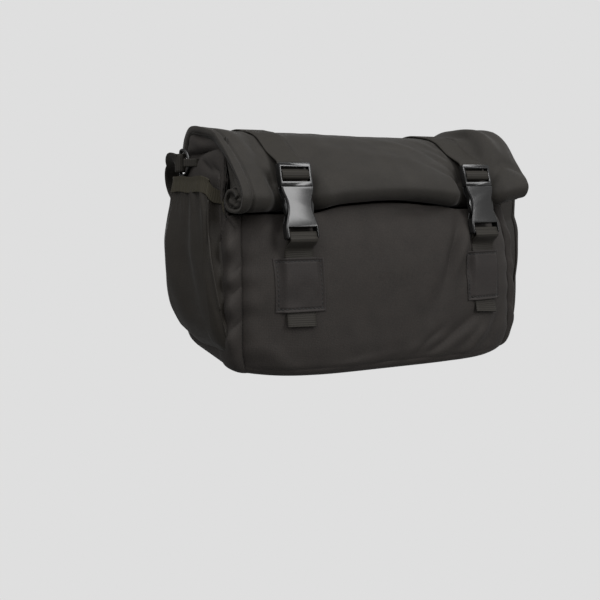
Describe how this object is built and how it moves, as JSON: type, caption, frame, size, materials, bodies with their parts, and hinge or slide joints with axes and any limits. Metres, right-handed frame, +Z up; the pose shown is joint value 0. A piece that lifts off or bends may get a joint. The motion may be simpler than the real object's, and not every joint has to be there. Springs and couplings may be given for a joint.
{
  "type": "handlebar bag",
  "caption": "Soft woven nylon bag with a rolled top, gathered end pockets, and webbing straps with side-release buckles, hung from a handlebar by ring straps.",
  "frame": {"origin": "middle of the axis of the handlebar that the two bar straps hold, behind the bag's upper back edge", "axes": "+X along the bar to the right as seen from the bag's front, +Y to the back, +Z up"},
  "size_m": [0.3266, 0.162, 0.2047],
  "materials": {
    "cloth": "matt charcoal woven nylon",
    "roll_cloth": "matt charcoal woven nylon, slightly sheeny over the roll",
    "pocket_cloth": "matt charcoal woven nylon, gathered",
    "patch_cloth": "matt charcoal woven nylon, stitched",
    "elastic": "matt olive-black elastic binding",
    "webbing": "ribbed black polypropylene webbing",
    "buckle_plastic": "glossy black moulded acetal",
    "ring_plastic": "glossy black moulded nylon"
  },
  "bodies": {
    "root": {"bag_body": "cloth", "roll_top": "roll_cloth", "side_pocket_left": "pocket_cloth", "pocket_band_left": "elastic", "top_strap_left": "webbing", "lower_strap_left": "webbing", "strap_patch_left": "patch_cloth", "corner_ring_left": "ring_plastic", "ring_loop_left": "webbing", "bar_strap_left": "webbing", "buckle_plug_left": "buckle_plastic", "buckle_socket_left": "buckle_plastic", "side_pocket_right": "pocket_cloth", "pocket_band_right": "elastic", "top_strap_right": "webbing", "lower_strap_right": "webbing", "strap_patch_right": "patch_cloth", "corner_ring_right": "ring_plastic", "ring_loop_right": "webbing", "bar_strap_right": "webbing", "buckle_plug_right": "buckle_plastic", "buckle_socket_right": "buckle_plastic"}
  },
  "joints": []
}
